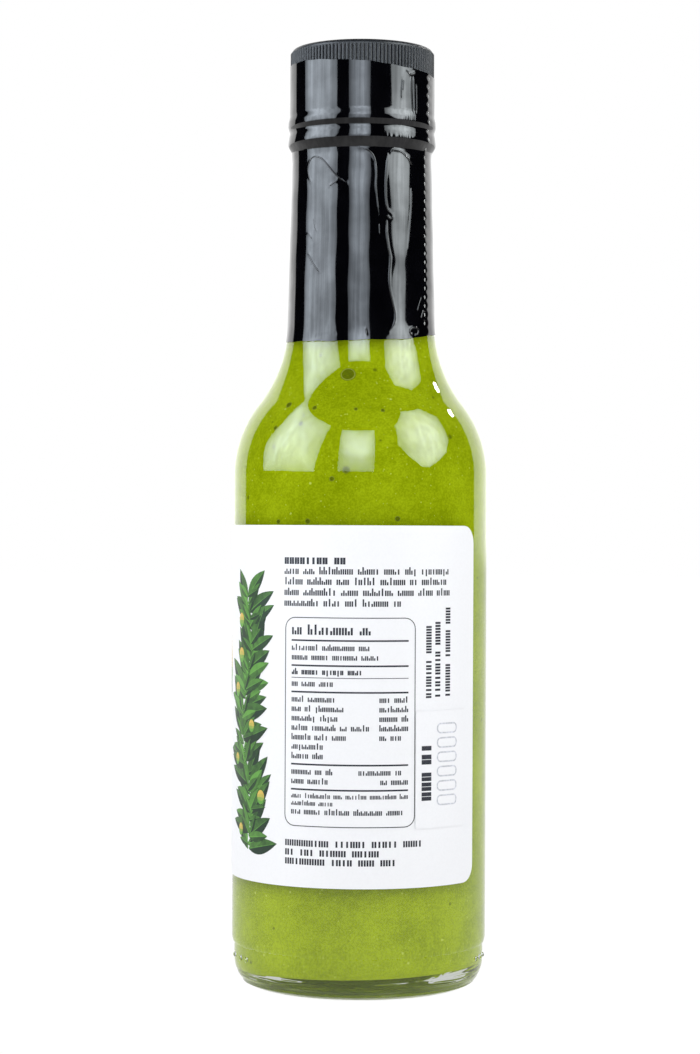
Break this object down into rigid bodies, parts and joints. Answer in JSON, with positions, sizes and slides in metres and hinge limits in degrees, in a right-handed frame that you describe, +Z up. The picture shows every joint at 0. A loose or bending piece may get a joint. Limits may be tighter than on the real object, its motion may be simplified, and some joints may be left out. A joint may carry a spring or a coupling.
{
  "type": "hot sauce bottle",
  "caption": "Clear glass bottle of green sauce with a ribbed screw cap, a black shrink sleeve over the cap and neck, a wrap-round label and a date sticker.",
  "frame": {"origin": "centre of the base, on the surface that the bottle stands on", "axes": "+Z up along the bottle's axis; -Y is the side with the text panel, and +X is the side with the gap between the label's ends"},
  "size_m": [0.047, 0.0471, 0.1719],
  "materials": {
    "glass": "clear flint glass, polished",
    "sauce": "thick green sauce with pale pulp, dark specks and a few bubbles",
    "cap": "moulded dark plastic with fine upright ribs",
    "sleeve": "black shrink film, glossy, with creases and a tear line",
    "label": "white coated label paper with printed lines and shapes",
    "sticker": "plain white sticker with a few printed bars"
  },
  "bodies": {
    "root": {"glass_bottle": "glass", "sauce": "sauce", "cap": "cap", "shrink_sleeve": "sleeve", "label": "label", "date_sticker": "sticker"}
  },
  "joints": []
}
